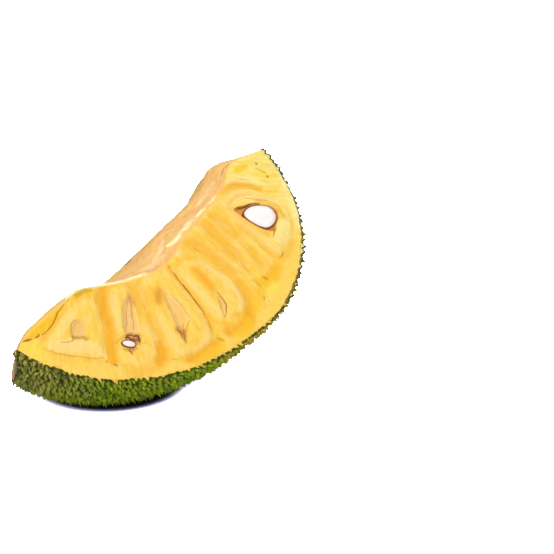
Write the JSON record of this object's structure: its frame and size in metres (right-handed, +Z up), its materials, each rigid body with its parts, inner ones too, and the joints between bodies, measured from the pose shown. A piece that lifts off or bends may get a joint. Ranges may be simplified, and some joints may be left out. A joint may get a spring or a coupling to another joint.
{
  "type": "jackfruit wedge",
  "caption": "Cut wedge of ripe jackfruit lying on its spiny green rind, with golden flesh bulbs and pale seeds on the cut faces.",
  "frame": {"origin": "centre of the part's box, on the table plane that its flat spot touches", "axes": "+Z up as it lies; +X along the wedge towards its raised blossom end; the front cut face with the large seed faces -Y and up"},
  "size_m": [0.321, 0.1864, 0.1552],
  "materials": {
    "flesh": "smooth moist golden fruit flesh, satin to glossy",
    "rind": "matte green skin covered in blunt spines",
    "seed": "pale waxy cut seed",
    "seed_coat": "thin brown papery seed coat"
  },
  "bodies": {
    "root": {"jackfruit_wedge": "flesh", "large_seed": "seed", "small_seed": "seed", "back_seed_low": "seed", "back_seed_high": "seed"}
  },
  "joints": []
}
